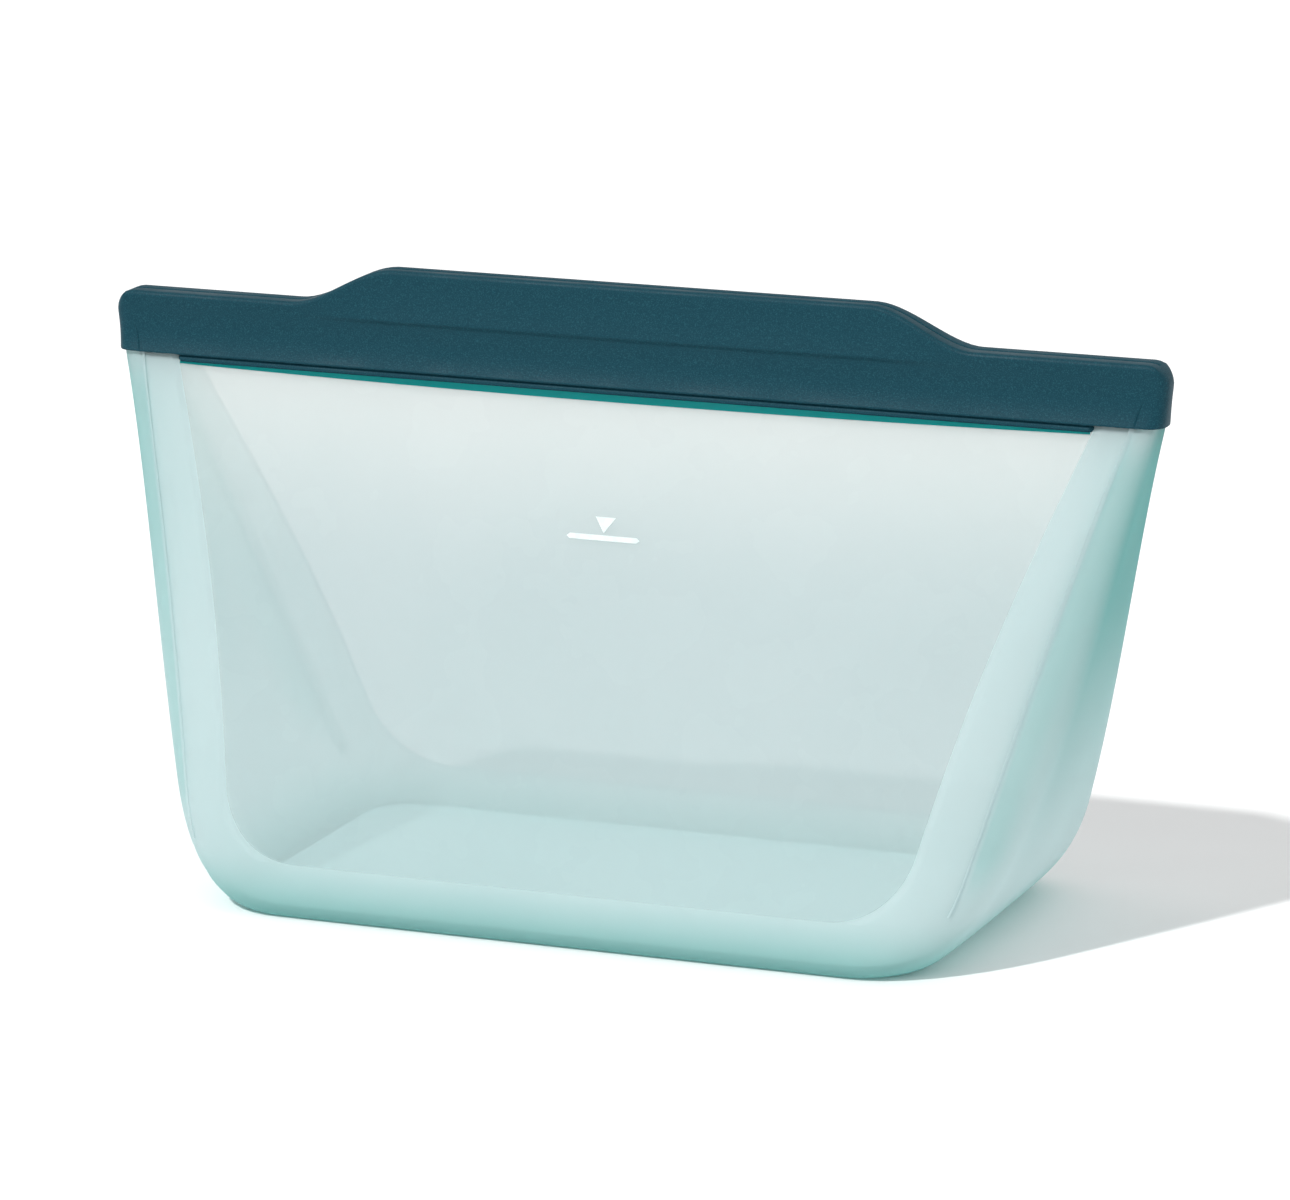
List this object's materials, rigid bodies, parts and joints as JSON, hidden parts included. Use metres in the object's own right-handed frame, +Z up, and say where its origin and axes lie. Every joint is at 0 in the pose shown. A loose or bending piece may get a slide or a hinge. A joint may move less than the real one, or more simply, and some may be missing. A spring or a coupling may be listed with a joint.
{
  "type": "reusable silicone bag",
  "caption": "Stand-up reusable silicone food bag with clear windows, a press-to-close seal and pull tabs; the mouth opens on living hinges.",
  "frame": {"origin": "on the floor under the middle of the bag", "axes": "+X along the mouth, -Y the front, +Z up"},
  "size_m": [0.2012, 0.0714, 0.1136],
  "materials": {
    "clear_silicone": "clear soft silicone, slightly glossy",
    "frosted_silicone": "frosted translucent aqua silicone",
    "band_silicone": "matte dark teal silicone",
    "mark_print": "pale raised silicone mark"
  },
  "bodies": {
    "base": {"floor_pan": "frosted_silicone"},
    "front_wall": {"front_window": "clear_silicone", "front_frame_feet": "frosted_silicone", "front_lip": "band_silicone", "front_ribs": "band_silicone", "front_fill_mark": "mark_print"},
    "back_wall": {"back_window": "clear_silicone", "back_frame_feet": "frosted_silicone", "back_lip": "band_silicone"},
    "front_tab": {"front_pull_tab": "band_silicone"},
    "back_tab": {"back_pull_tab": "band_silicone"},
    "front_left_wing": {"front_left_window": "clear_silicone", "front_left_frame": "frosted_silicone", "front_left_lip": "band_silicone", "front_left_ribs": "band_silicone"},
    "back_left_wing": {"back_left_window": "clear_silicone", "back_left_frame": "frosted_silicone", "back_left_lip": "band_silicone"},
    "left_end": {"left_gusset": "frosted_silicone", "left_band_end": "band_silicone"},
    "front_right_wing": {"front_right_window": "clear_silicone", "front_right_frame": "frosted_silicone", "front_right_lip": "band_silicone", "front_right_ribs": "band_silicone"},
    "back_right_wing": {"back_right_window": "clear_silicone", "back_right_frame": "frosted_silicone", "back_right_lip": "band_silicone"},
    "right_end": {"right_gusset": "frosted_silicone", "right_band_end": "band_silicone"}
  },
  "joints": [
    {"name": "front_wall_bend", "type": "hinge", "parent": "base", "child": "front_wall", "pos_m": [0, -0.03464, 0.01], "axis": [1, 0, 0], "range_deg": [0, 11], "stiffness_Nm_per_rad": 0.25},
    {"name": "back_wall_bend", "type": "hinge", "parent": "base", "child": "back_wall", "pos_m": [0, 0.03464, 0.01], "axis": [-1, 0, 0], "range_deg": [0, 11], "stiffness_Nm_per_rad": 0.25},
    {"name": "front_left_crease", "type": "hinge", "parent": "front_wall", "child": "front_left_wing", "pos_m": [-0.07402, -0.03464, 0.01], "axis": [-0.0732, -0.3226, -0.9437], "range_deg": [0, 36]},
    {"name": "front_right_crease", "type": "hinge", "parent": "front_wall", "child": "front_right_wing", "pos_m": [0.07402, -0.03464, 0.01], "axis": [-0.0732, 0.3226, 0.9437], "range_deg": [0, 36]},
    {"name": "back_left_crease", "type": "hinge", "parent": "back_wall", "child": "back_left_wing", "pos_m": [-0.07402, 0.03464, 0.01], "axis": [0.0732, -0.3226, 0.9437], "range_deg": [0, 36]},
    {"name": "back_right_crease", "type": "hinge", "parent": "back_wall", "child": "back_right_wing", "pos_m": [0.07402, 0.03464, 0.01], "axis": [0.0732, 0.3226, -0.9437], "range_deg": [0, 36]},
    {"name": "left_gusset_bend", "type": "hinge", "parent": "base", "child": "left_end", "pos_m": [-0.07402, 0, 0.01], "axis": [0, 1, 0], "range_deg": [0, 3.7]},
    {"name": "right_gusset_bend", "type": "hinge", "parent": "base", "child": "right_end", "pos_m": [0.07402, 0, 0.01], "axis": [0, -1, 0], "range_deg": [0, 3.7]},
    {"name": "front_tab_flex", "type": "hinge", "parent": "front_wall", "child": "front_tab", "pos_m": [0, -0.0037, 0.10675], "axis": [1, 0, 0], "range_deg": [0, 35], "stiffness_Nm_per_rad": 0.03},
    {"name": "back_tab_flex", "type": "hinge", "parent": "back_wall", "child": "back_tab", "pos_m": [0, 0.0037, 0.10675], "axis": [-1, 0, 0], "range_deg": [0, 35], "stiffness_Nm_per_rad": 0.03}
  ],
  "couplings": [
    {"joint": "back_wall_bend", "follows": "front_wall_bend", "ratio": 1},
    {"joint": "front_left_crease", "follows": "front_wall_bend", "ratio": 3.25},
    {"joint": "front_right_crease", "follows": "front_wall_bend", "ratio": 3.25},
    {"joint": "back_left_crease", "follows": "front_wall_bend", "ratio": 3.25},
    {"joint": "back_right_crease", "follows": "front_wall_bend", "ratio": 3.25},
    {"joint": "left_gusset_bend", "follows": "front_wall_bend", "ratio": 0.332},
    {"joint": "right_gusset_bend", "follows": "front_wall_bend", "ratio": 0.332}
  ]
}
